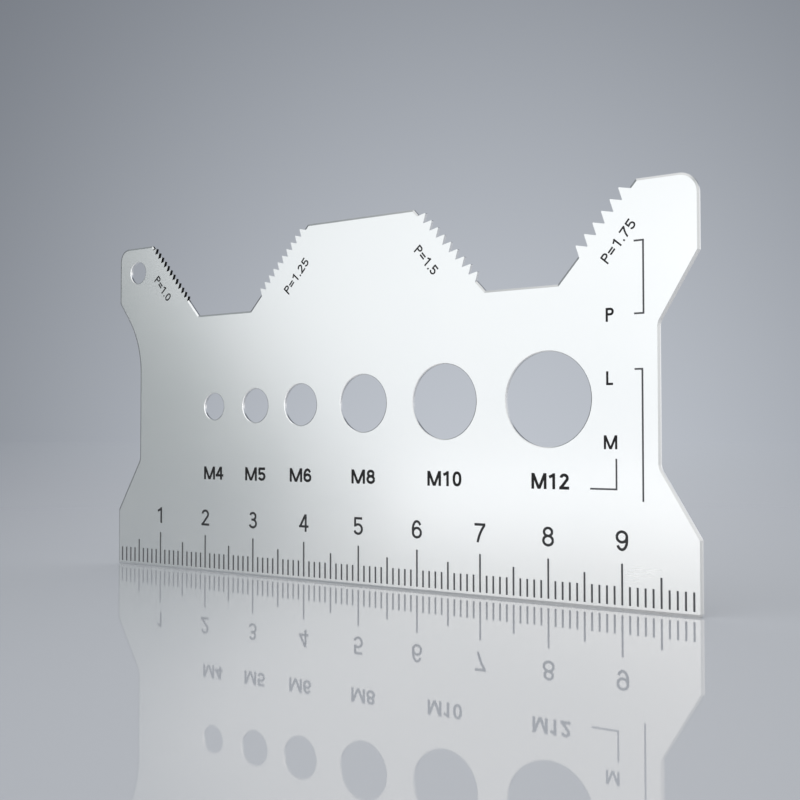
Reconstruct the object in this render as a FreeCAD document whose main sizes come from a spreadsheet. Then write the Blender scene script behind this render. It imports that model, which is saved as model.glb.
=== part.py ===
import FreeCAD, Part
import Sketcher
import math
import os

# Thread checker gauge: one thin stainless plate, 100 mm long, standing on its ruler edge.
# +X runs along the ruler from its zero end, +Z up from the ruler edge, and the marked
# face looks along -Y. The origin is the middle of the ruler edge, midway through the sheet.

doc = FreeCAD.newDocument("thread_checker_gauge")


# Driving sizes, in millimetres, degrees or plain shares

SIZES = (
    ("plate_length", 100.0, "length of the ruler edge"),
    ("plate_height", 52.0, "ruler edge to the top of the three ears"),
    ("plate_thickness", 0.5, "sheet thickness"),
    ("edge_roll", 0.28, "how far the outline's rolled-down edge reaches in on the front"),
    ("edge_fall", 0.1, "how far that edge falls away from the front"),
    ("hole_roll", 0.12, "how far the holes' rolled-down edges reach out on the front"),
    ("hole_fall", 0.05, "how far those edges fall away from the front"),
    ("edge_break", 0.06, "bevel that takes the burr off the back's edges"),
    ("foot_side", 8.9, "straight side above the ruler edge"),
    ("foot_slant", 8.3, "rise of the slant from the foot in to the waist"),
    ("zero_ear_side", 9.0, "the zero ear's straight side, below the top"),
    ("zero_ear_slant", 6.8, "rise of the slant from the zero side's waist out to its ear"),
    ("far_ear_side", 9.3, "the far ear's straight side, below the top"),
    ("far_ear_slant", 8.3, "rise of the slant from the far side's waist out to its ear"),
    ("waist_relief", 5.0, "how far each waist is set in from the ends"),
    ("valley_depth", 12.0, "top of the ears down to the valley floors"),
    ("zero_ear", 7.65, "flat top of the ear at the zero end"),
    ("far_ear", 7.9, "flat top of the ear at the far end"),
    ("middle_ear_zero_half", 9.35, "middle ear's flat top, from the middle to the zero side"),
    ("middle_ear_far_half", 9.45, "middle ear's flat top, from the middle to the far side"),
    ("ruler_corner", 0.4, "rounding of the two ruler corners"),
    ("zero_ear_corner", 2.0, "rounding of the zero ear's outer corner"),
    ("far_ear_corner", 2.5, "rounding of the far ear's outer corner"),
    ("zero_waist_sweep", 15.0, "long rounding at the top of the zero side's waist"),
    ("waist_corner", 1.5, "rounding of the other three waist corners"),
    ("pitch_100", 1.0, "pitch of the M6 comb"),
    ("run_100", 10.65, "the M6 comb's slant, measured along the ruler"),
    ("lead_100", 3.45, "plain slant below the M6 comb's first tooth"),
    ("sink_100", 0.4, "how deep the M6 comb's roots lie below its slant"),
    ("pitch_125", 1.25, "pitch of the M8 comb"),
    ("run_125", 11.3, "the M8 comb's slant, measured along the ruler"),
    ("lead_125", 3.15, "plain slant below the M8 comb's first tooth"),
    ("sink_125", 0.2, "how deep the M8 comb's roots lie below its slant"),
    ("pitch_150", 1.5, "pitch of the M10 comb"),
    ("run_150", 11.45, "the M10 comb's slant, measured along the ruler"),
    ("lead_150", 1.95, "plain slant below the M10 comb's first tooth"),
    ("sink_150", 0.2, "how deep the M10 comb's roots lie below its slant"),
    ("pitch_175", 1.75, "pitch of the M12 comb"),
    ("run_175", 10.6, "the M12 comb's slant, measured along the ruler"),
    ("lead_175", 4.3, "plain slant below the M12 comb's first tooth"),
    ("sink_175", 0.2, "how deep the M12 comb's roots lie below its slant"),
    ("comb_land", 0.25, "least plain slant left above the last tooth"),
    ("thread_angle", 60.0, "angle between a tooth's flanks"),
    ("tooth_flat", 0.0625, "crest and root flat, as a share of the pitch"),
    ("tooth_bite", 0.3, "how deep a tooth is rooted in the plate below its roots"),
    ("hole_row", 14.4, "valley floor down to the gauge holes' centres"),
    ("hole_reach", 30.25, "middle of the plate to the outer edge of the M4 hole"),
    ("hole_clearance", 0.1, "gauge hole over the screw's nominal diameter"),
    ("screw_4", 4.0, "nominal diameter of an M4 screw"),
    ("screw_5", 5.0, "nominal diameter of an M5 screw"),
    ("screw_6", 6.0, "nominal diameter of an M6 screw"),
    ("screw_8", 8.0, "nominal diameter of an M8 screw"),
    ("screw_10", 10.0, "nominal diameter of an M10 screw"),
    ("screw_12", 12.0, "nominal diameter of an M12 screw"),
    ("web_5", 4.0, "metal between the M4 and M5 holes"),
    ("web_6", 3.3, "metal between the M5 and M6 holes"),
    ("web_8", 4.4, "metal between the M6 and M8 holes"),
    ("web_10", 4.5, "metal between the M8 and M10 holes"),
    ("web_12", 4.5, "metal between the M10 and M12 holes"),
    ("hanging_hole", 3.5, "diameter of the hanging hole"),
    ("hanging_side", 4.35, "zero end to the hanging hole's centre"),
    ("hanging_top", 4.15, "top of the ear to the hanging hole's centre"),
    ("graduation", 1.0, "ruler step"),
    ("mark_width", 0.25, "width of a ruler mark"),
    ("mark_start", 0.6, "ruler edge to the lower end of the marks"),
    ("millimetre_mark", 2.25, "length of a millimetre mark"),
    ("five_millimetre_mark", 3.65, "length of a five-millimetre mark"),
    ("centimetre_mark", 5.0, "length of a centimetre mark"),
    ("ink_film", 0.02, "thickness of the ink that the marks are printed in"),
    ("leader_width", 0.22, "width of a leader line"),
    ("pitch_leader_inset", 7.0, "far end to the pitch leader's upright"),
    ("pitch_leader_top", 7.5, "top of the ears down to the pitch leader's upper arm"),
    ("pitch_leader_drop", 8.8, "height of the pitch leader's upright"),
    ("pitch_leader_arm", 1.2, "length of the pitch leader's arms"),
    ("length_leader_inset", 7.2, "far end to the length leader's upright"),
    ("length_leader_rise", 3.4, "gauge hole centres up to the length leader's arm"),
    ("length_leader_drop", 15.9, "height of the length leader's upright"),
    ("length_leader_arm", 1.0, "length of the length leader's arm"),
    ("size_leader_inset", 10.65, "far end to the size leader's upright"),
    ("size_leader_fall", 7.4, "gauge hole centres down to the size leader's upper end"),
    ("size_leader_drop", 3.7, "height of the size leader's upright"),
    ("size_leader_arm", 3.5, "length of the size leader's arm"),
)

sheet = doc.addObject("Spreadsheet::Sheet", "sizes")
for row, (alias, value, note) in enumerate(SIZES, start=1):
    sheet.set(f"A{row}", alias)
    sheet.set(f"B{row}", str(value))
    sheet.set(f"C{row}", note)
    sheet.setAlias(f"B{row}", alias)
doc.recompute()


# Places on the plate, as expressions on the sizes: x from the middle, z from the ruler edge

HALF = "(sizes.plate_length / 2)"
TOP = "sizes.plate_height"
VALLEY = "(sizes.plate_height - sizes.valley_depth)"
HOLE_LINE = f"({VALLEY} - sizes.hole_row)"
FOOT_TOP = "sizes.foot_side"
WAIST_LOW = "(sizes.foot_side + sizes.foot_slant)"
ZERO_EAR_LOW = "(sizes.plate_height - sizes.zero_ear_side)"
ZERO_WAIST_HIGH = f"({ZERO_EAR_LOW} - sizes.zero_ear_slant)"
FAR_EAR_LOW = "(sizes.plate_height - sizes.far_ear_side)"
FAR_WAIST_HIGH = f"({FAR_EAR_LOW} - sizes.far_ear_slant)"
WAIST_X = f"({HALF} - sizes.waist_relief)"
FACE = "sizes.plate_thickness / 2"

# Each comb: its name, x at the top of its slant, and +1 or -1 for the way its slant runs down
COMBS = (
    ("100", f"(sizes.zero_ear - {HALF})", 1),
    ("125", "(-sizes.middle_ear_zero_half)", -1),
    ("150", "(sizes.middle_ear_far_half)", 1),
    ("175", f"({HALF} - sizes.far_ear)", -1),
)

# Screws that the gauge holes check, smallest first
SCREWS = ("4", "5", "6", "8", "10", "12")


def comb_foot(name, top, way):
    """x where a comb's slant meets its valley floor."""
    return f"({top} + {way} * sizes.run_{name})"


def value_of(expression):
    """The number that an expression on the sizes has now."""
    result = sheet.evalExpression(expression.replace("sizes.", ""))
    return float(getattr(result, "Value", result))


def whole_steps(expression):
    """How many whole steps an expression holds, a thousandth of a step being let off."""
    return f"floor({expression} + 0.001)"


# Bodies, sketches and features

def new_body(name):
    body = doc.addObject("PartDesign::Body", name)
    body.Label = name
    body.AllowCompound = True
    return body


def new_sketch(body, name, lift="0"):
    """A sketch parallel to the marked face, lifted towards it from mid-thickness."""
    plane = next(f for f in body.Origin.OriginFeatures if f.Role == "XZ_Plane")
    sketch = body.newObject("Sketcher::SketchObject", name)
    sketch.AttachmentSupport = (plane, [""])
    sketch.MapMode = "FlatFace"
    sketch.setExpression("AttachmentOffset.Base.z", lift)
    return sketch


def pin(sketch, item, point, x, z):
    """Hold a point of a sketch at two expressions, measured from the sketch's origin."""
    for kind, expression in (("DistanceX", x), ("DistanceY", z)):
        rule = Sketcher.Constraint(kind, -1, 1, item, point, value_of(expression))
        number = sketch.addConstraint(rule)
        sketch.setExpression(f"Constraints[{number}]", expression)


def add_outline(sketch, corners):
    """A closed outline of straight lines through corners given as pairs of expressions."""
    first = sketch.GeometryCount
    count = len(corners)
    places = [FreeCAD.Vector(value_of(x), value_of(z), 0) for x, z in corners]
    for i in range(count):
        sketch.addGeometry(Part.LineSegment(places[i], places[(i + 1) % count]))
    for i in range(count):
        following = first + (i + 1) % count
        sketch.addConstraint(Sketcher.Constraint("Coincident", first + i, 2, following, 1))
        pin(sketch, first + i, 1, *corners[i])


def add_circle(sketch, x, z, diameter):
    item = sketch.GeometryCount
    middle = FreeCAD.Vector(value_of(x), value_of(z), 0)
    radius = value_of(diameter) / 2
    sketch.addGeometry(Part.Circle(middle, FreeCAD.Vector(0, 0, 1), radius))
    pin(sketch, item, 3, x, z)
    number = sketch.addConstraint(Sketcher.Constraint("Diameter", item, 2 * radius))
    sketch.setExpression(f"Constraints[{number}]", diameter)


def add_pad(body, name, sketch, length, both_ways):
    pad = body.newObject("PartDesign::Pad", name)
    pad.Profile = sketch
    pad.SideType = "Symmetric" if both_ways else "One side"
    pad.setExpression("Length", length)
    doc.recompute()
    return pad


def cut_through(body, name, sketch):
    """Cut a sketch right through the plate, both ways from mid-thickness."""
    before = body.Shape.Volume
    pocket = body.newObject("PartDesign::Pocket", name)
    pocket.Profile = sketch
    pocket.SideType = "Symmetric"
    pocket.Type = "ThroughAll"
    doc.recompute()
    if body.Shape.Volume >= before:
        raise RuntimeError(f"{name} cuts nothing")


def add_row(body, name, feature, sketch, count, step):
    """Repeat a feature along its sketch's x."""
    row = body.newObject("PartDesign::LinearPattern", name)
    row.Originals = [feature]
    row.Direction = (sketch, ["H_Axis"])
    row.Mode = "Spacing"
    row.setExpression("Offset", step)
    row.setExpression("Occurrences", count)
    body.Tip = row
    doc.recompute()
    if value_of(count) > 1 and body.Shape.Volume <= feature.Shape.Volume:
        raise RuntimeError(f"{name} repeats nothing")


def round_corners(body, name, radius, places):
    """Round the corners of the outline that stand at some places."""
    base = body.Tip
    chosen = []
    for x, z in places:
        spot = FreeCAD.Vector(value_of(x), 0, value_of(z))
        for number, edge in enumerate(base.Shape.Edges, start=1):
            across = abs(edge.Vertexes[0].Y - edge.Vertexes[-1].Y)
            middle = edge.CenterOfMass
            if across > 0 and math.hypot(middle.x - spot.x, middle.z - spot.z) < 0.001:
                chosen.append(f"Edge{number}")
    if len(chosen) != len(places):
        raise RuntimeError(f"{name} found {len(chosen)} of {len(places)} corners")
    rounding = body.newObject("PartDesign::Fillet", name)
    rounding.Base = (base, chosen)
    rounding.setExpression("Radius", radius)
    doc.recompute()
    return rounding


def slope_edges(body, name, chosen, size, other_size):
    """Bevel the rims of the chosen faces, or the chosen edges, with one size on each side of the edge.

    The first size lies on the walls if a face is chosen, and on the face if edges are.
    """
    base = body.Tip
    bevel = body.newObject("PartDesign::Chamfer", name)
    bevel.Base = (base, chosen)
    bevel.ChamferType = "Two distances"
    bevel.setExpression("Size", size)
    bevel.setExpression("Size2", other_size)
    doc.recompute()


def flat_face(body, side):
    """The name of the sheet's flat front, side -1, or back, side 1."""
    names = []
    for number, face in enumerate(body.Shape.Faces, start=1):
        flat = face.Surface.TypeId == "Part::GeomPlane"
        if flat and face.normalAt(0, 0).y * side > 0.99:
            names.append(f"Face{number}")
    if len(names) != 1:
        raise RuntimeError(f"{len(names)} flat faces of the sheet on side {side}")
    return names


def front_rings(body):
    """The names of the holes' round edges on the front."""
    return [f"Edge{number}" for number, edge in enumerate(body.Shape.Edges, start=1)
            if edge.isClosed() and edge.CenterOfMass.y < 0]


# The plate's blank: ruler edge, waisted sides and three ears with two valleys between them

plate = new_body("gauge_plate")

tops = {name: top for name, top, way in COMBS}
feet = {name: comb_foot(name, top, way) for name, top, way in COMBS}
blank = new_sketch(plate, "blank")
add_outline(blank, [
    (f"-{HALF}", "0"),
    (HALF, "0"),
    (HALF, FOOT_TOP),
    (WAIST_X, WAIST_LOW),
    (WAIST_X, FAR_WAIST_HIGH),
    (HALF, FAR_EAR_LOW),
    (HALF, TOP),
    (tops["175"], TOP),
    (feet["175"], VALLEY),
    (feet["150"], VALLEY),
    (tops["150"], TOP),
    (tops["125"], TOP),
    (feet["125"], VALLEY),
    (feet["100"], VALLEY),
    (tops["100"], TOP),
    (f"-{HALF}", TOP),
    (f"-{HALF}", ZERO_EAR_LOW),
    (f"-{WAIST_X}", ZERO_WAIST_HIGH),
    (f"-{WAIST_X}", WAIST_LOW),
    (f"-{HALF}", FOOT_TOP),
])
add_pad(plate, "sheet_blank", blank, "sizes.plate_thickness", True)

round_corners(plate, "ruler_corners", "sizes.ruler_corner", [(f"-{HALF}", "0"), (HALF, "0")])
round_corners(plate, "zero_ear_round", "sizes.zero_ear_corner", [(f"-{HALF}", TOP)])
round_corners(plate, "far_ear_round", "sizes.far_ear_corner", [(HALF, TOP)])
round_corners(plate, "zero_waist_round", "sizes.zero_waist_sweep", [(f"-{WAIST_X}", ZERO_WAIST_HIGH)])
round_corners(plate, "waist_rounds", "sizes.waist_corner", [
    (f"-{WAIST_X}", WAIST_LOW),
    (WAIST_X, WAIST_LOW),
    (WAIST_X, FAR_WAIST_HIGH),
])

slope_edges(plate, "outline_roll", flat_face(plate, -1), "sizes.edge_fall", "sizes.edge_roll")


# The row of gauge holes, each set past the last by its web, and the hanging hole

def hole_size(screw):
    return f"(sizes.screw_{screw} + sizes.hole_clearance)"


gauge_holes = new_sketch(plate, "gauge_holes")
edge = "(-sizes.hole_reach)"
for screw in SCREWS:
    if screw != SCREWS[0]:
        edge = f"({edge} + sizes.web_{screw})"
    add_circle(gauge_holes, f"{edge} + {hole_size(screw)} / 2", HOLE_LINE, hole_size(screw))
    edge = f"({edge} + {hole_size(screw)})"
cut_through(plate, "gauge_hole_row", gauge_holes)

hanging = new_sketch(plate, "hanging")
add_circle(hanging, f"sizes.hanging_side - {HALF}", f"{TOP} - sizes.hanging_top", "sizes.hanging_hole")
cut_through(plate, "hanging_hole_cut", hanging)

slope_edges(plate, "hole_rolls", front_rings(plate), "sizes.hole_roll", "sizes.hole_fall")
slope_edges(plate, "back_break", flat_face(plate, 1), "sizes.edge_break", "sizes.edge_break")

front, back = -value_of(FACE), value_of(FACE)
levels = (front, front + value_of("sizes.edge_fall"), front + value_of("sizes.hole_fall"),
          back - value_of("sizes.edge_break"), back)
for corner in plate.Shape.Vertexes:
    if min(abs(corner.Y - level) for level in levels) > 0.0001:
        raise RuntimeError("an edge of the sheet slopes the wrong way")


# The four combs: a shallow seat is cut into each slant, and sharp thread teeth stand on its floor

def seat_outline(name, side, count):
    """The seat of a comb, its x up the slant from the foot; side is +1 or -1 for the open side."""
    floor = f"({-side} * sizes.sink_{name})"
    clear = f"({side} * sizes.tooth_bite)"
    start = f"sizes.lead_{name}"
    end = f"({start} + {count} * sizes.pitch_{name})"
    return [(start, floor), (end, floor), (end, clear), (start, clear)]


def tooth_outline(name, side):
    """The first tooth of a comb, in the same directions as its seat."""
    pitch = f"sizes.pitch_{name}"
    half_flat = f"({pitch} * sizes.tooth_flat / 2)"
    height = f"(({pitch} / 2 - 2 * {half_flat}) / tan(sizes.thread_angle / 2))"
    crest = f"({side} * ({height} - sizes.sink_{name}))"
    floor = f"({-side} * sizes.sink_{name})"
    root = f"({-side} * (sizes.sink_{name} + sizes.tooth_bite))"
    start = f"sizes.lead_{name}"
    middle = f"({start} + {pitch} / 2)"
    end = f"({start} + {pitch})"
    return [
        (start, root),
        (end, root),
        (end, floor),
        (f"{end} - {half_flat}", floor),
        (f"{middle} + {half_flat}", crest),
        (f"{middle} - {half_flat}", crest),
        (f"{start} + {half_flat}", floor),
        (start, floor),
    ]


SKETCH_NORMAL = FreeCAD.Vector(0, 0, 1)


def slant_sketch(name, top, way):
    """A sketch whose x runs up a comb's slant from its foot."""
    sketch = new_sketch(plate, name)
    comb = name.split("_")[-1]
    slope = f"atan2(sizes.valley_depth; {-way} * sizes.run_{comb})"
    turn = FreeCAD.Rotation(SKETCH_NORMAL, value_of(slope))
    sketch.AttachmentOffset = FreeCAD.Placement(FreeCAD.Vector(), turn)
    sketch.setExpression("AttachmentOffset.Base.x", comb_foot(comb, top, way))
    sketch.setExpression("AttachmentOffset.Base.y", VALLEY)
    sketch.setExpression("AttachmentOffset.Base.z", "0")
    sketch.setExpression("AttachmentOffset.Rotation.Angle", slope)
    return sketch


for name, top, way in COMBS:
    slant = f"sqrt(sizes.run_{name} ^ 2 + sizes.valley_depth ^ 2)"
    count = whole_steps(f"({slant} - sizes.lead_{name} - sizes.comb_land) / sizes.pitch_{name}")
    seat = slant_sketch(f"seat_{name}", top, way)
    add_outline(seat, seat_outline(name, -way, count))
    cut_through(plate, f"comb_seat_{name}", seat)
    tooth = slant_sketch(f"tooth_{name}", top, way)
    add_outline(tooth, tooth_outline(name, -way))
    first_tooth = add_pad(plate, f"first_tooth_{name}", tooth, "sizes.plate_thickness", True)
    add_row(plate, f"comb_{name}", first_tooth, tooth, count, f"sizes.pitch_{name}")


# Ruler marks: each kind's name, the length of a mark, the steps of its first marks, how many
# such groups there are and the steps from one group to the next

MARKS = (
    ("millimetre_marks", "millimetre_mark", (1, 2, 3, 4),
     whole_steps("sizes.plate_length / (5 * sizes.graduation)"), 5),
    ("five_millimetre_marks", "five_millimetre_mark", (5,),
     whole_steps("(sizes.plate_length / sizes.graduation + 5) / 10"), 10),
    ("centimetre_marks", "centimetre_mark", (10,),
     whole_steps("(sizes.plate_length / sizes.graduation - 1) / 10"), 10),
)


def mark_outline(step, length):
    """An upright mark on a step of the ruler."""
    middle = f"({step} * sizes.graduation - {HALF})"
    left = f"({middle} - sizes.mark_width / 2)"
    right = f"({middle} + sizes.mark_width / 2)"
    low = "sizes.mark_start"
    high = f"(sizes.mark_start + sizes.{length})"
    return [(left, low), (right, low), (right, high), (left, high)]


# Leader lines: the outline of a thin line that turns at right angles, arms towards the zero end

def pitch_leader_outline():
    """An upright with an arm at both ends."""
    line = f"({HALF} - sizes.pitch_leader_inset)"
    high = f"({TOP} - sizes.pitch_leader_top)"
    low = f"({high} - sizes.pitch_leader_drop)"
    arm = f"({line} - sizes.pitch_leader_arm)"
    half = "sizes.leader_width / 2"
    return [
        (arm, f"{high} + {half}"),
        (f"{line} + {half}", f"{high} + {half}"),
        (f"{line} + {half}", f"{low} - {half}"),
        (arm, f"{low} - {half}"),
        (arm, f"{low} + {half}"),
        (f"{line} - {half}", f"{low} + {half}"),
        (f"{line} - {half}", f"{high} - {half}"),
        (arm, f"{high} - {half}"),
    ]


def length_leader_outline():
    """An upright with an arm at its upper end."""
    line = f"({HALF} - sizes.length_leader_inset)"
    high = f"({HOLE_LINE} + sizes.length_leader_rise)"
    low = f"({high} - sizes.length_leader_drop)"
    arm = f"({line} - sizes.length_leader_arm)"
    half = "sizes.leader_width / 2"
    return [
        (arm, f"{high} + {half}"),
        (f"{line} + {half}", f"{high} + {half}"),
        (f"{line} + {half}", low),
        (f"{line} - {half}", low),
        (f"{line} - {half}", f"{high} - {half}"),
        (arm, f"{high} - {half}"),
    ]


def size_leader_outline():
    """An upright with an arm at its lower end."""
    line = f"({HALF} - sizes.size_leader_inset)"
    high = f"({HOLE_LINE} - sizes.size_leader_fall)"
    low = f"({high} - sizes.size_leader_drop)"
    arm = f"({line} - sizes.size_leader_arm)"
    half = "sizes.leader_width / 2"
    return [
        (arm, f"{low} - {half}"),
        (f"{line} + {half}", f"{low} - {half}"),
        (f"{line} + {half}", high),
        (f"{line} - {half}", high),
        (f"{line} - {half}", f"{low} + {half}"),
        (arm, f"{low} + {half}"),
    ]


# The marks are films of ink that lie on the plate's face

inks = []
for name, length, steps, groups, group_step in MARKS:
    ink = new_body(name)
    print_sketch = new_sketch(ink, f"print_{name}", FACE)
    for step in steps:
        add_outline(print_sketch, mark_outline(step, length))
    film = add_pad(ink, f"film_{name}", print_sketch, "sizes.ink_film", False)
    add_row(ink, f"row_{name}", film, print_sketch, groups, f"{group_step} * sizes.graduation")
    inks.append(ink)

LEADERS = (
    ("pitch_leader", pitch_leader_outline()),
    ("length_leader", length_leader_outline()),
    ("size_leader", size_leader_outline()),
)
for name, outline in LEADERS:
    ink = new_body(name)
    print_sketch = new_sketch(ink, f"print_{name}", FACE)
    add_outline(print_sketch, outline)
    add_pad(ink, f"film_{name}", print_sketch, "sizes.ink_film", False)
    inks.append(ink)


# Check the model, then write each piece

doc.recompute()
for item in doc.Objects:
    if "Invalid" in item.State or "Error" in item.State:
        raise RuntimeError(f"{item.Name} failed: {item.State}")

os.makedirs("parts", exist_ok=True)
for body in [plate] + inks:
    shape = body.Shape
    if shape.isNull() or not shape.isValid() or not shape.Solids:
        raise RuntimeError(f"{body.Label} has no sound solid")
    box = shape.BoundBox
    print(f"{body.Label}: {len(shape.Solids)} solids, {shape.Volume:.3f} mm3, "
          f"x {box.XMin:.2f} to {box.XMax:.2f}, y {box.YMin:.3f} to {box.YMax:.3f}, "
          f"z {box.ZMin:.2f} to {box.ZMax:.2f}")
    shape.exportStep(f"parts/{body.Label}.step")
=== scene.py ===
import math

import bpy
import numpy as np
from bpy.props import FloatProperty, FloatVectorProperty, PointerProperty
from mathutils import Matrix, Vector
from mathutils.geometry import delaunay_2d_cdt


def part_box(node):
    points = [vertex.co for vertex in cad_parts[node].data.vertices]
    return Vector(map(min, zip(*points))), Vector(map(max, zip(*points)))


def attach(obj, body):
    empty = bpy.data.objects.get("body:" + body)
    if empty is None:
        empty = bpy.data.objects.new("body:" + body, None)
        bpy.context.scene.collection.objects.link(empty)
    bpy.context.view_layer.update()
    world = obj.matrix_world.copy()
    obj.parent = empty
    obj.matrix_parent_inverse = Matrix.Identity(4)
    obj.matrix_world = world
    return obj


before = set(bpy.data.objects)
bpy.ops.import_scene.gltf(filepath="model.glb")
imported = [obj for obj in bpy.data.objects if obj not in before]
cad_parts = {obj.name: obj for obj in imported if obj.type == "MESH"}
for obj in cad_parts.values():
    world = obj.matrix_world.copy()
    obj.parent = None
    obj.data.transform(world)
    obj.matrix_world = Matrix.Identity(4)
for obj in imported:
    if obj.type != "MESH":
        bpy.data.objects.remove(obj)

# A thread checker gauge of satin stainless sheet with a printed ruler, on a pale glossy table in a
# soft studio. The plate and its marks come from the frame. The lettering is made here.

bl_info = {
    "name": "Thread checker gauge",
    "version": (1, 0, 0),
    "blender": (4, 5, 0),
    "location": "3D View > Sidebar > Gauge",
    "description": "Finishes and lettering of a sheet metal thread checker gauge, and its studio",
    "category": "Object",
}

MM = 0.001
BODY = "root"
PLATE = "gauge_plate"
PRINTED_NODES = [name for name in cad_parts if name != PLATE]

PLATE_LOW, PLATE_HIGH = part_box(PLATE)
INK_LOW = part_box("centimetre_marks")[0]
PLATE_LENGTH = PLATE_HIGH.x - PLATE_LOW.x
CENTIMETRE = PLATE_LENGTH / 10

# The camera stands in front of the ruler's far end and looks back along the plate. Its lens and
# sensor are in millimetres, and what lies nearer than its near limit, in metres, isn't seen.
CAMERA_PLACE = Vector((98.95, -129.21, 20.88)) * MM
CAMERA_YAW = math.radians(35.427)
CAMERA_PITCH = math.radians(1.831)
CAMERA_ROLL = math.radians(-0.043)
CAMERA_LENS = 51.84
CAMERA_SENSOR = 36.0
CAMERA_NEAR = 0.01


# Shader maths

class Value:
    """A socket in a shader. The usual signs of arithmetic add Math nodes to its tree."""

    def __init__(self, shader, socket):
        self.shader = shader
        self.socket = socket

    def maths(self, operation, *values):
        """One Math node on these values, in their order."""
        settings = {"operation": operation}
        return self.shader.node("ShaderNodeMath", settings, dict(enumerate(values)))

    def __add__(self, other):
        return self.maths("ADD", self, other)

    __radd__ = __add__

    def __sub__(self, other):
        return self.maths("SUBTRACT", self, other)

    def __rsub__(self, other):
        return self.maths("SUBTRACT", other, self)

    def __mul__(self, other):
        return self.maths("MULTIPLY", self, other)

    __rmul__ = __mul__

    def __pow__(self, other):
        return self.maths("POWER", self, other)

    def size(self):
        """The value without its sign."""
        return self.maths("ABSOLUTE", self)

    def root(self):
        """The square root of the value."""
        return self.maths("SQRT", self)

    def between(self, low, high):
        """0 below low, 1 above high, and a smooth rise between them."""
        span = {"interpolation_type": "SMOOTHSTEP"}
        return self.shader.node("ShaderNodeMapRange", span, {0: self, 1: low, 2: high})


class Shader:
    """The node tree of a material or a world."""

    def __init__(self, owner):
        owner.use_nodes = True
        self.tree = owner.node_tree
        self.tree.nodes.clear()

    def node(self, kind, settings=None, inputs=None, output=0):
        """Adds a node: its settings come first, then the values and links of its sockets."""
        made = self.tree.nodes.new(kind)
        for name, setting in (settings or {}).items():
            setattr(made, name, setting)
        for key, given in (inputs or {}).items():
            if isinstance(given, Value):
                self.tree.links.new(given.socket, made.inputs[key])
            else:
                made.inputs[key].default_value = given
        return Value(self, made.outputs[output]) if made.outputs else made

    def coordinate(self, output):
        """One output of the Texture Coordinate node."""
        return self.node("ShaderNodeTexCoord", output=output)

    def parts(self, vector):
        """The three parts of a vector."""
        first = self.node("ShaderNodeSeparateXYZ", None, {0: vector})
        return [Value(self, socket) for socket in first.socket.node.outputs]

    def noise(self, scale, detail, roughness):
        """Noise from 0 to 1 on Object coordinates, its scale along each axis given per metre."""
        place = self.node("ShaderNodeMapping", None,
                          {"Vector": self.coordinate("Object"), "Scale": scale})
        inputs = {"Vector": place, "Scale": 1.0, "Detail": detail, "Roughness": roughness}
        return self.node("ShaderNodeTexNoise", None, inputs, "Fac")

    def blend(self, factor, first, second):
        """A colour between two colours."""
        return self.node("ShaderNodeMix", {"data_type": "RGBA"},
                         {0: factor, 6: first, 7: second}, 2)

    def bump(self, height, strength, distance):
        """A normal that a height in units of the distance tilts."""
        return self.node("ShaderNodeBump", None,
                         {"Height": height, "Strength": strength, "Distance": distance})

    def surface(self, kind, inputs):
        """The shader that a material shows."""
        made = self.node(kind, None, inputs)
        self.node("ShaderNodeOutputMaterial", None, {"Surface": made})


def opaque(colour):
    """A linear colour with its alpha."""
    return (*colour, 1.0)


# Finishes

# The finest comb's place, from x to x and above z, metres: its cut walls are painted near black,
# painted shade in the narrow notches
SHADED_NOTCH_PLACE = (PLATE_LOW.x + 7.1 * MM, PLATE_LOW.x + 16.2 * MM, 42.2 * MM)
SOFT_STEP = 0.3 * MM

# How much of a surface's facing, the size of its normal's y, makes it face or cut wall
FACE_FROM, FACE_FULL = 0.85, 0.98
WALL_FULL, WALL_UNTIL = 0.2, 0.5

# Patterns on the steel and in the ink: noise scale along x, y and z, detail and roughness
HAIRLINES = ((45.0, 900.0, 4200.0), 3.0, 0.6)
STRANDS = ((160.0, 900.0, 11000.0), 2.0, 0.5)
CLOUDS = ((38.0, 38.0, 60.0), 3.0, 0.55)
CUT_LINES = ((5200.0, 260.0, 5200.0), 2.0, 0.6)
MOTTLE = ((2600.0, 2600.0, 2600.0), 3.0, 0.6)
DENSITY = ((300.0, 300.0, 300.0), 2.0, 0.5)
TABLE_HAZE = ((9.0, 9.0, 9.0), 2.0, 0.5)

# Bumps: strength and distance
STEEL_BUMP = (0.008, 0.003 * MM)
INK_BUMP = (0.3, 0.004 * MM)

# The grain is this share of hairlines and the rest strands
HAIRLINE_SHARE, STRAND_SHARE = 0.6, 0.4

# Shade and roughness of the faces and the cut walls, and what each pattern adds to them
FACE_SHADE, GRAIN_SHADE, CLOUD_SHADE = 0.935, 0.02, 0.06
GRAIN_ROUGHNESS, CLOUD_ROUGHNESS = 0.02, 0.05
# The notch terms: how far painted shade darkens the finest comb's notch walls, and the roughness
# added there
WALL_SHADE, CUT_SHADE, NOTCH_SHADE_DEPTH = 0.92, 0.12, 0.97
WALL_ROUGHNESS, CUT_ROUGHNESS, NOTCH_SHADE_ROUGHNESS = 0.18, 0.1, 0.4

# The ink: least wear and how far the patterns raise it, in shares, then its gloss
LEAST_WORN, WORN_SWING = 0.8, 0.4
MOTTLE_ROUGHNESS = 0.16
INK_SPECULAR = 0.3


def scorch(shader):
    """1 round the finest comb's notches, whose walls get painted shade, and 0 elsewhere."""
    x, _, z = shader.parts(shader.coordinate("Object"))
    first, last, low = SHADED_NOTCH_PLACE
    inside = x.between(first, first + SOFT_STEP) * (1.0 - x.between(last, last + SOFT_STEP))
    return inside * z.between(low, low + SOFT_STEP)


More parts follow.
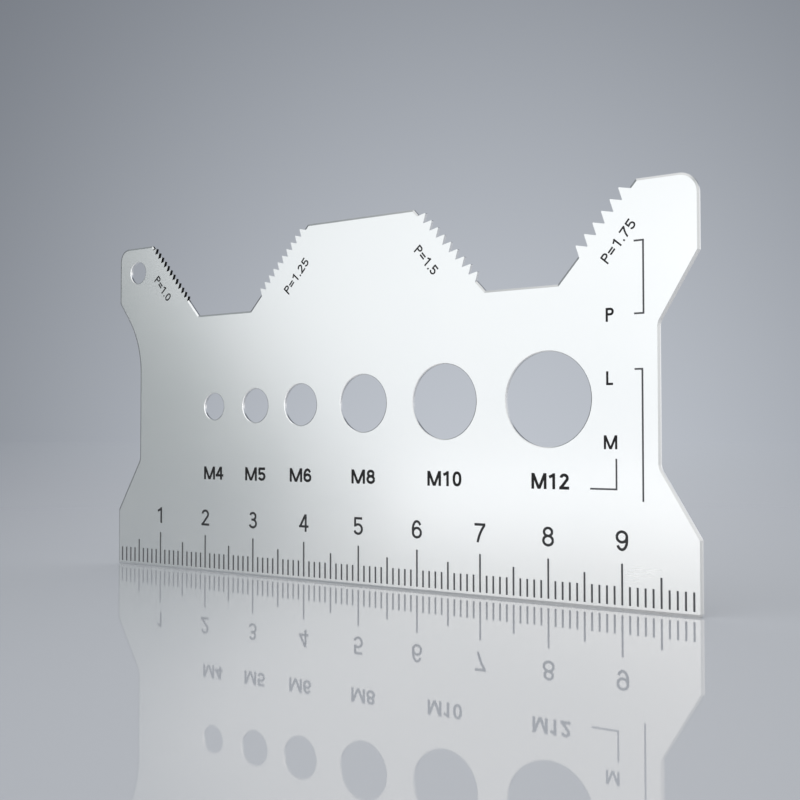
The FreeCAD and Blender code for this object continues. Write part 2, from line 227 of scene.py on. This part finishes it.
def satin_steel(look):
    """Brushed stainless sheet: hairlines along the ruler on both faces, and clean cut walls."""
    material = bpy.data.materials.new("satin_steel")
    shader = Shader(material)
    _, across, _ = shader.parts(shader.coordinate("Normal"))
    facing = across.size()
    face = facing.between(FACE_FROM, FACE_FULL)
    wall = 1.0 - facing.between(WALL_FULL, WALL_UNTIL)

    hairlines = shader.noise(*HAIRLINES)
    strands = shader.noise(*STRANDS)
    clouds = shader.noise(*CLOUDS)
    cut = shader.noise(*CUT_LINES)
    painted_notch_shade = scorch(shader)

    grain = HAIRLINE_SHARE * hairlines + STRAND_SHARE * strands
    shade = (FACE_SHADE + GRAIN_SHADE * grain + CLOUD_SHADE * clouds) * face + (1.0 - face)
    face_colour = shader.blend(clouds, opaque(look.cool), opaque(look.warm))
    # Painted shade: the finest comb's notch walls are darkened nearly to black
    wall_shade = (WALL_SHADE + CUT_SHADE * cut) * (1.0 - NOTCH_SHADE_DEPTH * painted_notch_shade)
    sheet_colour = shader.node("ShaderNodeVectorMath", {"operation": "SCALE"},
                               {0: face_colour, 3: shade})
    wall_colour = shader.node("ShaderNodeVectorMath", {"operation": "SCALE"},
                              {0: opaque(look.cut)[:3], 3: wall_shade})
    colour = shader.blend(wall, sheet_colour, wall_colour)

    satin = look.roughness + GRAIN_ROUGHNESS * (grain - 0.5) + CLOUD_ROUGHNESS * (clouds - 0.5)
    roughness = (satin * (1.0 - wall)
                 + (WALL_ROUGHNESS + CUT_ROUGHNESS * cut + NOTCH_SHADE_ROUGHNESS * painted_notch_shade) * wall)
    height = grain * face + cut * wall
    shader.surface("ShaderNodeBsdfPrincipled", {
        "Base Color": colour,
        "Roughness": roughness,
        "Metallic": 1.0,
        "Normal": shader.bump(height, *STEEL_BUMP),
    })
    return material


def printed_ink(look, name, wear):
    """Black screen ink: nearly even, a little mottled, and greyer the thinner it was printed.

    The wear runs from 0, dense, to 1, thin.
    """
    material = bpy.data.materials.new(name)
    shader = Shader(material)
    mottle = shader.noise(*MOTTLE)
    density = shader.noise(*DENSITY)
    worn = wear * (LEAST_WORN + WORN_SWING * (0.5 * mottle + 0.5 * density))
    shader.surface("ShaderNodeBsdfPrincipled", {
        "Base Color": shader.blend(worn, opaque(look.dense), opaque(look.thin)),
        "Roughness": look.roughness + MOTTLE_ROUGHNESS * (mottle - 0.5),
        "Specular IOR Level": INK_SPECULAR,
        "Normal": shader.bump(mottle, *INK_BUMP),
    })
    return material


# Lettering: each sign is a few pen strokes in a box one unit high, its foot at zero. A stroke is
# the pen's middle line, and says whether its ends are cut level or square to it. The pen is a
# share of the height. The numbers in the signs are places in that box.

FIGURE_ADVANCE = 0.776
MIDDLE = FIGURE_ADVANCE / 2
HALF_FIGURE = 0.33
BEARING = 0.09
CURVE_STEPS = 28


def arc(centre, radii, start, end, power=2.0):
    """Centre + radii times the angle's cosine and sine, each raised to 2 / power: an ellipse."""
    angle = np.radians(np.linspace(start, end, CURVE_STEPS))
    turn = np.column_stack((np.cos(angle), np.sin(angle)))
    return np.array(centre) + np.array(radii) * np.sign(turn) * np.abs(turn) ** (2.0 / power)


def line(*points):
    """A straight or bent line through these points."""
    return np.array(points, float)


def bow(start, pull, end):
    """A parabola whose end tangents meet at pull: (1-t)^2 start + 2t(1-t) pull + t^2 end."""
    share = np.linspace(0.0, 1.0, CURVE_STEPS)[:, None]
    start, pull, end = np.array(start), np.array(pull), np.array(end)
    return (1 - share) ** 2 * start + 2 * share * (1 - share) * pull + share ** 2 * end


def zero(pen):
    """A full ellipse, a little squared."""
    return [(arc((MIDDLE, 0.5), (HALF_FIGURE - pen / 2, 0.5 - pen / 2), 0, 360, 2.3), False)]


def one(pen):
    """An upright with a flag that falls to the left from its top."""
    return [(line((0.46, 0), (0.46, 1)), True),
            (line((0.47, 0.985 - pen / 2), (0.15, 0.755)), False)]


def two(pen):
    """Most of an ellipse at the top, run on in a straight line to the left end of a level foot."""
    bowl = arc((MIDDLE, 0.71), (0.31 - pen / 2, 0.29 - pen / 2), 172, -36)
    foot = (0.07 + pen / 2, pen / 2)
    return [(np.vstack((bowl, foot)), False), (line((0.055, pen / 2), (0.72, pen / 2)), False)]


def three(pen):
    """Two part ellipses that meet at the waist, the lower one larger, and a short bar there."""
    waist = 0.53
    upper = (1 - pen / 2 - waist) / 2
    lower = (waist - pen / 2) / 2
    return [(arc((0.37, waist + upper), (0.29 - pen / 2, upper), 158, -90), False),
            (arc((0.37, waist - lower), (HALF_FIGURE - pen / 2, lower), 90, -162), False),
            (line((0.26, waist), (0.38, waist)), False)]


def four(pen):
    """An upright, a level bar across it, and a slant from the upright's top to the bar's left."""
    bar = 0.235 + pen / 2
    return [(line((0.53, 0), (0.53, 1)), True),
            (line((0.03, bar), (0.74, bar)), False),
            (line((0.53 - 0.1 * pen, 1), (0.03 + 0.62 * pen, bar)), True)]


def five(pen):
    """A level top, a short side that leans down from its left, and most of an ellipse below."""
    bowl = arc((0.385, 0.33), (0.335 - pen / 2, 0.33 - pen / 2), 139, -160)
    return [(line((0.13, 1 - pen / 2), (0.67, 1 - pen / 2)), False),
            (line((0.175, 1 - pen / 2), bowl[0] - (0.01, 0.04)), True),
            (bowl, False)]


def six(pen):
    """A full ellipse at the foot, and part of a tall one round its left and over the top."""
    half = HALF_FIGURE - pen / 2
    return [(arc((MIDDLE, 0.32), (half, 0.32 - pen / 2), 0, 360), False),
            (arc((MIDDLE, 0.5), (half, 0.5 - pen / 2), 205, 32), False)]


def seven(pen):
    """A level top and a parabola from its right end down to the foot."""
    return [(line((0.06, 1 - pen / 2), (0.72, 1 - pen / 2)), False),
            (bow((0.72 - 0.6 * pen, 1 - pen), (0.36, 0.5), (0.25, 0)), True)]


def eight(pen):
    """Two full ellipses that touch at the waist, the lower one larger."""
    waist = 0.535
    upper = (1 - pen / 2 - waist) / 2
    lower = (waist - pen / 2) / 2
    return [(arc((MIDDLE, waist + upper), (0.295 - pen / 2, upper), 0, 360), False),
            (arc((MIDDLE, waist - lower), (0.335 - pen / 2, lower), 0, 360), False)]


def nine(pen):
    """A six turned half round: each place taken from the box's far corner."""
    corner = [FIGURE_ADVANCE, 1.0]
    return [(corner - stroke, level) for stroke, level in six(pen)]


def letter_m(pen):
    """Two uprights, and two slants from their tops that meet at the foot's middle."""
    left, right = BEARING + pen / 2, 1.13 - pen / 2
    middle = (left + right) / 2
    lean = 0.55 * pen
    return [(line((left, 0), (left, 1)), True),
            (line((right, 0), (right, 1)), True),
            (line((left + lean - pen / 2, 1), (middle, 0)), True),
            (line((right - lean + pen / 2, 1), (middle, 0)), True)]


def letter_p(pen):
    """An upright, and a bowl of two level lines joined by half an ellipse at their right."""
    foot, top = 0.44 + pen / 2, 1 - pen / 2
    stem, turn = BEARING + pen / 2, 0.45
    end = arc((turn, (foot + top) / 2), (0.72 - pen / 2 - turn, (top - foot) / 2), 90, -90)
    bowl = np.vstack(((stem, top), end, (stem, foot)))
    return [(line((stem, 0), (stem, 1)), True), (bowl, False)]


def letter_l(pen):
    """An upright and a level foot."""
    stem = BEARING + pen / 2
    return [(line((stem, 0), (stem, 1)), True), (line((stem, pen / 2), (0.62, pen / 2)), False)]


def equals(_pen):
    """Two level bars, one over the other."""
    return [(line((0.07, height), (0.68, height)), False) for height in (0.34, 0.62)]


def point(pen):
    """An upright a little taller than the pen is wide, at the foot."""
    return [(line((0.16, 0), (0.16, 1.12 * pen)), True)]


# What draws each sign, and how wide its box is
FIGURES = (zero, one, two, three, four, five, six, seven, eight, nine)
SIGNS = {str(number): (draw, FIGURE_ADVANCE) for number, draw in enumerate(FIGURES)}
SIGNS |= {"M": (letter_m, 1.16), "P": (letter_p, 0.78), "L": (letter_l, 0.68),
          "=": (equals, 0.75), ".": (point, 0.32)}

# Corners closer than this, in millimetres, count as one when overlapping quads are joined
JOIN_WITHIN = 1e-7


def ribbon(stroke, pen, level):
    """Corners each side of a line: half the pen along its normal, or along x for level ends.

    Along x the half pen is divided by the normal's x, which keeps the stroke as wide.
    """
    step = np.gradient(stroke, axis=0)
    step /= np.linalg.norm(step, axis=1)[:, None]
    side = np.column_stack((-step[:, 1], step[:, 0]))
    if level:
        side = np.column_stack((1 / side[:, 0], np.zeros(len(side))))
    return np.stack((stroke - side * pen / 2, stroke + side * pen / 2), axis=1)


def words(text, height, pen, width=None):
    """Quads of a line of signs, its ink centred on zero.

    Each sign is drawn in a box one unit high with the pen's width as a share of it. A wanted
    width stretches the strokes' lines and leaves the pen as it is.
    """
    strokes = []
    at = 0.0
    for sign in text:
        draw, advance = SIGNS[sign]
        strokes += [(stroke + (at, 0.0), level) for stroke, level in draw(pen)]
        at += advance
    every = np.vstack([stroke for stroke, _ in strokes])
    low, high = every[:, 0].min(), every[:, 0].max()
    stretch = (width / height - pen) / (high - low) if width else 1.0
    centre = np.array([(low + high) / 2, 0.5])
    quads = []
    for stroke, level in strokes:
        placed = (stroke - centre) * (stretch, 1.0)
        rail = ribbon(placed, pen, level)
        quads.append(np.stack((rail[:-1, 0], rail[:-1, 1], rail[1:, 1], rail[1:, 0]), axis=1))
    return np.vstack(quads) * height


def turned(quads, place, degrees):
    """The quads turned about zero and moved so that their middle is at the place."""
    angle = math.radians(degrees)
    across = np.array(((math.cos(angle), math.sin(angle)), (-math.sin(angle), math.cos(angle))))
    return quads @ across + np.array(place)


def union(quads):
    """The triangles that overlapping quads cover, without the overlaps, from a constrained net.

    A quad turns anticlockwise where half the cross product of its diagonals is positive.
    """
    first, second = quads[:, 2] - quads[:, 0], quads[:, 3] - quads[:, 1]
    area = first[:, 0] * second[:, 1] - first[:, 1] * second[:, 0]
    quads = np.where(area[:, None, None] > 0, quads, quads[:, ::-1])
    corners = [Vector(corner) for corner in quads.reshape(-1, 2)]
    faces = np.arange(len(corners)).reshape(-1, 4).tolist()
    points, _, net, _, _, covers = delaunay_2d_cdt(corners, [], faces, 0, JOIN_WITHIN)
    triangles = np.array([face for face, cover in zip(net, covers) if cover])
    return np.array([tuple(p) for p in points]), triangles


def film(points, triangles, front, back):
    """A closed film: the triangles in front, their mirror behind, and a wall at each open edge.

    An edge is open where one triangle alone uses it. A triangle turns anticlockwise where the
    cross product of two of its sides is positive.
    """
    count = len(points)
    low = np.column_stack((points[:, 0], np.full(count, front), points[:, 1]))
    high = np.column_stack((points[:, 0], np.full(count, back), points[:, 1]))
    a, b, c = points[triangles[:, 0]], points[triangles[:, 1]], points[triangles[:, 2]]
    spin = (b[:, 0] - a[:, 0]) * (c[:, 1] - a[:, 1]) - (b[:, 1] - a[:, 1]) * (c[:, 0] - a[:, 0])
    triangles = np.where(spin[:, None] > 0, triangles, triangles[:, ::-1])
    edges = np.vstack((triangles[:, [0, 1]], triangles[:, [1, 2]], triangles[:, [2, 0]]))
    key = edges[:, 0] * count + edges[:, 1]
    other = edges[:, 1] * count + edges[:, 0]
    rim = edges[~np.isin(key, other)]
    walls = np.column_stack((rim[:, 1], rim[:, 0], rim[:, 0] + count, rim[:, 1] + count))
    faces = triangles.tolist() + (triangles[:, ::-1] + count).tolist() + walls.tolist()
    return np.vstack((low, high)), faces


def print_signs(name, lines, wear):
    """One piece of ink: lines of signs as a closed film on the plate's marked face."""
    points, faces = [], []
    for quads in lines:
        flat, triangles = union(quads)
        solid, sides = film(flat * MM, triangles, INK_LOW.y, PLATE_LOW.y)
        start = sum(len(part) for part in points)
        points.append(solid)
        faces += [[corner + start for corner in side] for side in sides]
    mesh = bpy.data.meshes.new(name)
    mesh.from_pydata(np.vstack(points).tolist(), [], faces)
    mesh.update()
    mesh.materials.append(printed_ink(bpy.context.scene.gauge_ink, name + "_ink", wear))
    piece = bpy.data.objects.new(name, mesh)
    bpy.context.scene.collection.objects.link(piece)
    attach(piece, BODY)


# Properties that a user would change

class SteelLook(bpy.types.PropertyGroup):
    cool: FloatVectorProperty(name="Cool steel", description="Linear colour of the bluer clouds",
                              default=(0.785, 0.80, 0.808), subtype="COLOR")
    warm: FloatVectorProperty(name="Warm steel", description="Linear colour of the warmer clouds",
                              default=(0.805, 0.811, 0.809), subtype="COLOR")
    cut: FloatVectorProperty(name="Cut wall", description="Linear colour of the cut walls",
                             default=(0.88, 0.89, 0.90), subtype="COLOR")
    roughness: FloatProperty(name="Roughness", description="Mean roughness of both faces",
                             default=0.26, min=0.0, max=1.0)


class InkLook(bpy.types.PropertyGroup):
    dense: FloatVectorProperty(name="Dense ink",
                               description="Linear colour where the ink is thick",
                               default=(0.006, 0.006, 0.007), subtype="COLOR")
    thin: FloatVectorProperty(name="Thin ink", description="Linear colour where the ink is thin",
                              default=(0.095, 0.098, 0.105), subtype="COLOR")
    roughness: FloatProperty(name="Roughness", description="Mean roughness of the ink",
                             default=0.52, min=0.0, max=1.0)


class LetteringSizes(bpy.types.PropertyGroup):
    figures: FloatProperty(name="Ruler figures",
                           description="Height of the centimetre numbers, mm",
                           default=2.5, min=0.5)
    sizes: FloatProperty(name="Size labels",
                         description="Height of the labels under the holes, mm",
                         default=2.0, min=0.5)
    pitches: FloatProperty(name="Pitch labels",
                           description="Height of the labels at the combs, mm",
                           default=1.35, min=0.5)
    letters: FloatProperty(name="Leader letters", description="Height of the leaders' letters, mm",
                           default=1.7, min=0.5)


class StudioLook(bpy.types.PropertyGroup):
    floor: FloatVectorProperty(name="Table", description="Linear colour of the glossy table",
                               default=(0.60, 0.635, 0.69), subtype="COLOR")
    lacquer: FloatVectorProperty(name="Lacquer", description="Linear colour of the table's gloss",
                                 default=(1.0, 0.91, 0.815), subtype="COLOR")
    mirror: FloatProperty(name="Table gloss", description="Share that mirrors, seen from above",
                          default=0.22, min=0.0, max=1.0)
    glow: FloatVectorProperty(name="Backdrop glow", description="Linear colour behind the gauge",
                              default=(0.532, 0.564, 0.616), subtype="COLOR")
    front: FloatVectorProperty(name="Room in front", description="Linear colour of the near side",
                               default=(0.39, 0.425, 0.43), subtype="COLOR")
    flank: FloatVectorProperty(name="Dark flank", description="Linear colour past the zero end",
                               default=(0.13, 0.14, 0.15), subtype="COLOR")
    window: FloatVectorProperty(name="Windows", description="Linear colour that the rims mirror",
                                default=(1.0, 1.0, 1.0), subtype="COLOR")
    dusk: FloatVectorProperty(name="Backdrop edge", description="Linear colour far from the glow",
                              default=(0.17, 0.185, 0.213), subtype="COLOR")
    daylight: FloatProperty(name="Fill", description="Even white light from all round",
                            default=0.80, min=0.0)


# How thin each ink is printed, from 0 to 1
MARKS_WEAR = 1.0
FIGURES_WEAR = 0.3
HOLE_LABELS_WEAR = 0.0
PITCH_LABELS_WEAR = 0.1
LETTERS_WEAR = 0.0

# The pen of each lettering, as a share of its height
FIGURES_PEN = 0.135
HOLE_LABELS_PEN = 0.19
PITCH_LABELS_PEN = 0.16
LETTERS_PEN = 0.17

# Level of the ruler figures' middle, mm, and how far the 1 stands left, as a share of its height
FIGURES_LEVEL = 8.35
ONE_SHIFT = 0.1

# Text, x of its middle and its width, and the level of the middles, in millimetres
HOLE_LABELS = (("M4", -28.14, 4.3), ("M5", -19.5, 4.2), ("M6", -10.64, 4.12),
               ("M8", 0.86, 4.15), ("M10", 14.45, 5.42), ("M12", 30.42, 5.5))
HOLE_LABEL_LEVEL = 15.3

# Text, x and z of its middle and its width in millimetres, and its slope in degrees
PITCH_LABELS = (("P=1.0", -39.82, 44.83, 4.7, -50.0), ("P=1.25", -11.5, 44.6, 6.0, 48.5),
                ("P=1.5", 11.6, 44.85, 4.8, -49.5), ("P=1.75", 39.8, 44.65, 6.0, 50.0))

# Letter, and x and z of its middle, where the leader lines point: pitch, length and metric size
LEADER_LETTERS = (("P", 38.6, 35.75), ("L", 38.6, 28.0), ("M", 38.6, 20.2))


# Operators, one for each piece or group of like pieces

class GAUGE_OT_finish_plate(bpy.types.Operator):
    """Give the sheet its satin steel"""
    bl_idname = "gauge.finish_plate"
    bl_label = "Finish the plate"

    def execute(self, context):
        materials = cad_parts[PLATE].data.materials
        materials.clear()
        materials.append(satin_steel(context.scene.gauge_steel))
        return {"FINISHED"}


class GAUGE_OT_finish_marks(bpy.types.Operator):
    """Give the ruler's marks and the leader lines their ink"""
    bl_idname = "gauge.finish_marks"
    bl_label = "Finish the printed marks"

    def execute(self, context):
        ink = printed_ink(context.scene.gauge_ink, "marks_ink", MARKS_WEAR)
        for name in PRINTED_NODES:
            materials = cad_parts[name].data.materials
            materials.clear()
            materials.append(ink)
        return {"FINISHED"}


class GAUGE_OT_ruler_figures(bpy.types.Operator):
    """Print the numbers 1 to 9 over the centimetre marks"""
    bl_idname = "gauge.ruler_figures"
    bl_label = "Print the ruler figures"

    def execute(self, context):
        height = context.scene.gauge_lettering.figures
        lines = []
        for number in range(1, 10):
            mark = PLATE_LOW.x / MM + number * CENTIMETRE / MM
            shift = ONE_SHIFT * height if number == 1 else 0.0
            quads = words(str(number), height, FIGURES_PEN)
            lines.append(turned(quads, (mark - shift, FIGURES_LEVEL), 0))
        print_signs("ruler_figures", lines, FIGURES_WEAR)
        return {"FINISHED"}


class GAUGE_OT_hole_labels(bpy.types.Operator):
    """Print the screw size under each gauge hole"""
    bl_idname = "gauge.hole_labels"
    bl_label = "Print the hole sizes"

    def execute(self, context):
        height = context.scene.gauge_lettering.sizes
        lines = [turned(words(text, height, HOLE_LABELS_PEN, width), (x, HOLE_LABEL_LEVEL), 0)
                 for text, x, width in HOLE_LABELS]
        print_signs("hole_size_labels", lines, HOLE_LABELS_WEAR)
        return {"FINISHED"}


class GAUGE_OT_pitch_labels(bpy.types.Operator):
    """Print the pitch beside each comb, along its slope"""
    bl_idname = "gauge.pitch_labels"
    bl_label = "Print the pitches"

    def execute(self, context):
        height = context.scene.gauge_lettering.pitches
        lines = [turned(words(text, height, PITCH_LABELS_PEN, width), (x, z), slope)
                 for text, x, z, width, slope in PITCH_LABELS]
        print_signs("pitch_labels", lines, PITCH_LABELS_WEAR)
        return {"FINISHED"}


class GAUGE_OT_leader_letters(bpy.types.Operator):
    """Print one plain letter at the end of each leader line"""
    bl_idname = "gauge.leader_letters"
    bl_label = "Print the leader letters"

    def execute(self, context):
        height = context.scene.gauge_lettering.letters
        lines = [turned(words(text, height, LETTERS_PEN), (x, z), 0)
                 for text, x, z in LEADER_LETTERS]
        print_signs("leader_letters", lines, LETTERS_WEAR)
        return {"FINISHED"}


# The studio

# Half the table's side, metres, how fast it turns into a mirror towards the horizon, and the
# roughness of its gloss with what the haze adds
TABLE_REACH = 4.0
GLANCE_POWER = 9.5
POLISH, HAZE_POLISH = 0.012, 0.02
WHITE = (1.0, 1.0, 1.0)


def glossy_table(look):
    """A pale table under lacquer: matt with a warm gloss, and a clear mirror to the horizon."""
    material = bpy.data.materials.new("glossy_table")
    shader = Shader(material)
    haze = shader.noise(*TABLE_HAZE)
    glance = shader.node("ShaderNodeLayerWeight", None, {"Blend": 0.5}, "Facing")
    matt = shader.node("ShaderNodeBsdfDiffuse", None, {"Color": opaque(look.floor)})
    polish = POLISH + HAZE_POLISH * haze
    warm = shader.node("ShaderNodeBsdfGlossy", None,
                       {"Color": opaque(look.lacquer), "Roughness": polish})
    clear = shader.node("ShaderNodeBsdfGlossy", None,
                        {"Color": opaque(WHITE), "Roughness": polish})
    near = shader.node("ShaderNodeMixShader", None, {0: look.mirror, 1: matt, 2: warm})
    shader.surface("ShaderNodeMixShader", {0: glance ** GLANCE_POWER, 1: near, 2: clear})
    return material


# The backdrop's glow: where it lies on the horizon, its rise, how its width and height count,
# and how far it reaches
GLOW_AZIMUTH = math.radians(31.2)
GLOW_AHEAD = Vector((-math.sin(GLOW_AZIMUTH), math.cos(GLOW_AZIMUTH)))
GLOW_RISE = -0.1
GLOW_WIDTH = 0.648
GLOW_HEIGHT = 0.554
GLOW_REACH = 0.452

# The backdrop passes into the room in front between these parts of a direction along minus y
FRONT_FROM, FRONT_FULL = 0.1, 0.7

# Places round the gauge that only gloss shows: azimuth, rise, and the angles where each fades out
WINDOWS = ((-4.0, 12.0, 16.0, 26.0), (18.0, 50.0, 14.0, 24.0),
           (-130.0, 4.0, 8.0, 13.0), (-166.0, 4.0, 13.0, 17.0))
PALE_WALL = (-146.0, 5.0, 25.0, 35.0)
DARK_FLANK = (80.0, 4.0, 16.0, 26.0)


def patch(direction, azimuth, rise, inner, outer):
    """1 within the inner angle of a place on the sky and 0 past the outer one, in degrees."""
    turn, lift = math.radians(azimuth), math.radians(rise)
    aim = (-math.sin(turn) * math.cos(lift), -math.cos(turn) * math.cos(lift), math.sin(lift))
    along = aim[0] * direction[0] + aim[1] * direction[1] + aim[2] * direction[2]
    return along.between(math.cos(math.radians(outer)), math.cos(math.radians(inner)))


def studio_world(look):
    """Even white light, and a blue-grey backdrop that only the eye and reflections see."""
    world = bpy.data.worlds.new("studio")
    bpy.context.scene.world = world
    shader = Shader(world)
    rays = [shader.node("ShaderNodeLightPath", output=output)
            for output in ("Is Camera Ray", "Is Glossy Ray", "Is Transmission Ray")]
    side, ahead, up = direction = shader.parts(shader.coordinate("Generated"))
    across = GLOW_WIDTH * (GLOW_AHEAD.y * side - GLOW_AHEAD.x * ahead)
    behind = 1.0 - (GLOW_AHEAD.x * side + GLOW_AHEAD.y * ahead)
    rise = GLOW_HEIGHT * (up - GLOW_RISE)
    far = (across * across + rise * rise + behind * behind).root()
    wall = shader.blend(far.between(0.0, GLOW_REACH), opaque(look.glow), opaque(look.dusk))
    nearer = (0.0 - ahead).between(FRONT_FROM, FRONT_FULL)
    backdrop = shader.blend(nearer, wall, opaque(look.front))
    places = [(DARK_FLANK, look.flank), (PALE_WALL, look.glow)]
    places += [(window, look.window) for window in WINDOWS]
    room = backdrop
    for place, colour in places:
        room = shader.blend(patch(direction, *place), room, opaque(colour))
    mirrored = shader.blend(rays[1], backdrop, room)
    seen = shader.node("ShaderNodeBackground", None, {"Color": mirrored, "Strength": 1.0})
    daylight = shader.node("ShaderNodeBackground", None,
                           {"Color": opaque(WHITE), "Strength": look.daylight})
    shows = (rays[0] + rays[1] + rays[2]).between(0.0, 0.5)
    both = shader.node("ShaderNodeMixShader", None, {0: shows, 1: daylight, 2: seen})
    shader.node("ShaderNodeOutputWorld", None, {"Surface": both})


LAMP_COLOUR = (0.992, 0.988, 1.0)

# Each lamp: azimuth in degrees, distance, height and size in metres, roll in degrees, radiance
CARD = (21.5, 0.302, 0.06, (0.233, 0.30), 35.0, 0.83)
LOW_CARD = (0.5, 0.067, 0.006, (0.082, 0.02), 0.0, 0.30)


def softbox(name, azimuth, distance, height, size, roll, radiance):
    """An upright flat lamp that faces the plate's middle, unseen by the camera itself.

    The azimuth runs from the marked face's side towards the zero end, and the roll leans the
    lamp's top the same way. Its power is its radiance times pi times its area.
    """
    lamp = bpy.data.lights.new(name, "AREA")
    lamp.shape = "RECTANGLE"
    lamp.size, lamp.size_y = size
    lamp.energy = radiance * size[0] * size[1] * math.pi
    lamp.color = LAMP_COLOUR
    holder = bpy.data.objects.new(name, lamp)
    bpy.context.scene.collection.objects.link(holder)
    across = math.radians(azimuth)
    towards = Vector((-math.sin(across), -math.cos(across), 0.0))
    turn = towards.to_track_quat("Z", "Y").to_matrix().to_4x4()
    spin = Matrix.Rotation(math.radians(roll), 4, "Z")
    place = towards * distance + Vector((0.0, 0.0, height))
    holder.matrix_world = Matrix.Translation(place) @ turn @ spin
    holder.visible_camera = False
    return holder


def camera():
    """The photograph's camera, from its place, yaw, pitch and roll."""
    data = bpy.data.cameras.new("camera")
    data.sensor_width = CAMERA_SENSOR
    data.lens = CAMERA_LENS
    data.clip_start = CAMERA_NEAR
    holder = bpy.data.objects.new("camera", data)
    bpy.context.scene.collection.objects.link(holder)
    tilt = Matrix.Rotation(math.pi / 2 + CAMERA_PITCH, 4, "X")
    turn = Matrix.Rotation(CAMERA_YAW, 4, "Z")
    roll = Matrix.Rotation(CAMERA_ROLL, 4, "Z")
    holder.matrix_world = Matrix.Translation(CAMERA_PLACE) @ turn @ tilt @ roll
    bpy.context.scene.camera = holder


class GAUGE_OT_studio(bpy.types.Operator):
    """Set the table, the backdrop, the lamps and the camera"""
    bl_idname = "gauge.studio"
    bl_label = "Set up the studio"

    def execute(self, context):
        look = context.scene.gauge_studio
        mesh = bpy.data.meshes.new("table")
        turns = ((-1, -1, 0), (1, -1, 0), (1, 1, 0), (-1, 1, 0))
        mesh.from_pydata((TABLE_REACH * np.array(turns)).tolist(), [], [(0, 1, 2, 3)])
        mesh.materials.append(glossy_table(look))
        table = bpy.data.objects.new("table", mesh)
        context.scene.collection.objects.link(table)
        studio_world(look)
        softbox("card", *CARD)
        low_card = softbox("low_card", *LOW_CARD)
        low_card.visible_diffuse = False
        camera()
        context.scene.view_settings.view_transform = "Standard"
        return {"FINISHED"}


class GAUGE_PT_sidebar(bpy.types.Panel):
    """Lists the gauge's pieces and their settings"""
    bl_idname = "GAUGE_PT_sidebar"
    bl_label = "Thread checker gauge"
    bl_space_type = "VIEW_3D"
    bl_region_type = "UI"
    bl_category = "Gauge"

    def draw(self, context):
        for group in GROUPS:
            settings = getattr(context.scene, group)
            box = self.layout.box()
            for name in settings.__annotations__:
                box.prop(settings, name)
        for step in STEPS:
            self.layout.operator(step.bl_idname)


GROUPS = {"gauge_steel": SteelLook, "gauge_ink": InkLook, "gauge_lettering": LetteringSizes,
          "gauge_studio": StudioLook}
STEPS = (GAUGE_OT_finish_plate, GAUGE_OT_finish_marks, GAUGE_OT_ruler_figures,
         GAUGE_OT_hole_labels, GAUGE_OT_pitch_labels, GAUGE_OT_leader_letters, GAUGE_OT_studio)


def register():
    for made in (*GROUPS.values(), *STEPS, GAUGE_PT_sidebar):
        bpy.utils.register_class(made)
    for name, group in GROUPS.items():
        setattr(bpy.types.Scene, name, PointerProperty(type=group))


def unregister():
    for name in GROUPS:
        delattr(bpy.types.Scene, name)
    for made in reversed((*GROUPS.values(), *STEPS, GAUGE_PT_sidebar)):
        bpy.utils.unregister_class(made)


def main():
    """Makes every piece in order."""
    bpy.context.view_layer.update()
    register()
    for step in STEPS:
        group, name = step.bl_idname.split(".")
        getattr(getattr(bpy.ops, group), name)()


if __name__ == "__main__":
    main()
